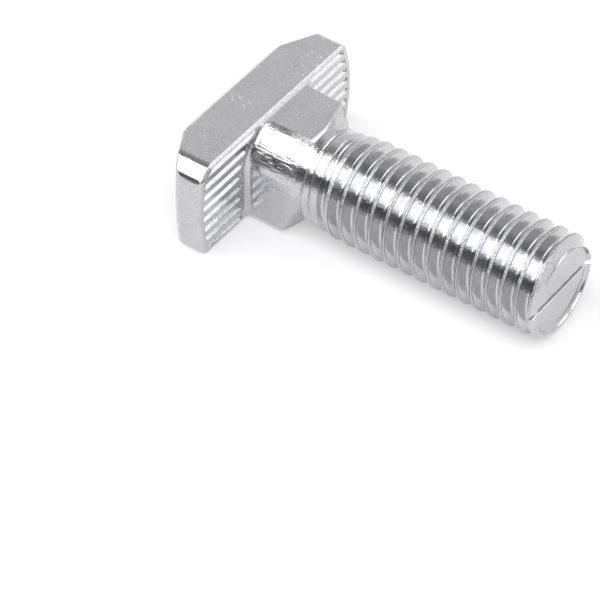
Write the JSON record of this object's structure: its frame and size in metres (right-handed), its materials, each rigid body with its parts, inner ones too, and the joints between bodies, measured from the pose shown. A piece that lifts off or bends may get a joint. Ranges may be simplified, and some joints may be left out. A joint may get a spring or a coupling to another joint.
{
  "type": "t slot bolt",
  "caption": "Hammer-head bolt for a profile's T slot: low head with sloped ends and a serrated bearing face, square neck with rounded turning corners, and a coarse rolled thread.",
  "frame": {"origin": "on the shank's axis, in the plane of the head's bearing face", "axes": "+X along the shank, from the bearing face towards the tip; Y along the head's length; Z across the head's width, which is up as the bolt lies"},
  "size_m": [0.0295, 0.019, 0.008],
  "materials": {
    "zinc_steel": "bright zinc plating over cold-forged steel, smooth and half glossy"
  },
  "bodies": {
    "root": {"t_slot_bolt": "zinc_steel"}
  },
  "joints": []
}
